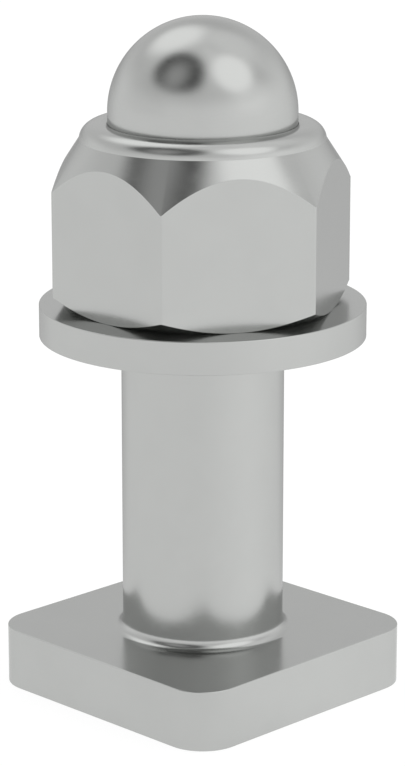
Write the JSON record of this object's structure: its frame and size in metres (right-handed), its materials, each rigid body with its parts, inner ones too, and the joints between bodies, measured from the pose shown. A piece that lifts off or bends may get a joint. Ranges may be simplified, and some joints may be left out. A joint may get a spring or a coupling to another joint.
{
  "type": "t slot bolt",
  "caption": "T slot bolt with a thin square head, a plain round shank, a flat washer and a domed self-locking hexagon nut screwed down on its thread.",
  "frame": {"origin": "centre of the head's underside, on the shank's axis", "axes": "+Z along the shank from the head to the nut's dome; +X and +Y square to the head's sides, with two of the hexagon's corners along X and two of its flats facing Y"},
  "size_m": [0.016, 0.016, 0.0336],
  "materials": {
    "bolt_steel": "bright zinc plated, smooth",
    "washer_steel": "bright zinc plated, smooth",
    "nut_steel": "bright zinc plated, smooth",
    "cap_steel": "bright zinc plated, polished",
    "ring_nylon": "natural nylon"
  },
  "bodies": {
    "bolt": {"t_slot_bolt": "bolt_steel"},
    "washer": {"flat_washer": "washer_steel"},
    "nut": {"nut_body": "nut_steel", "locking_ring": "ring_nylon", "dome_cap": "cap_steel"}
  },
  "joints": [
    {"name": "nut_travel", "type": "slide", "parent": "bolt", "child": "washer", "axis": [0, 0, 1], "range_m": [0, 0.00719]},
    {"name": "nut_turn", "type": "hinge", "parent": "washer", "child": "nut", "pos_m": [0, 0, 0.0196], "axis": [0, 0, 1], "range_deg": [0, 2070]}
  ],
  "couplings": [
    {"joint": "nut_travel", "follows": "nut_turn", "m_per_rad": 0.00019894}
  ]
}
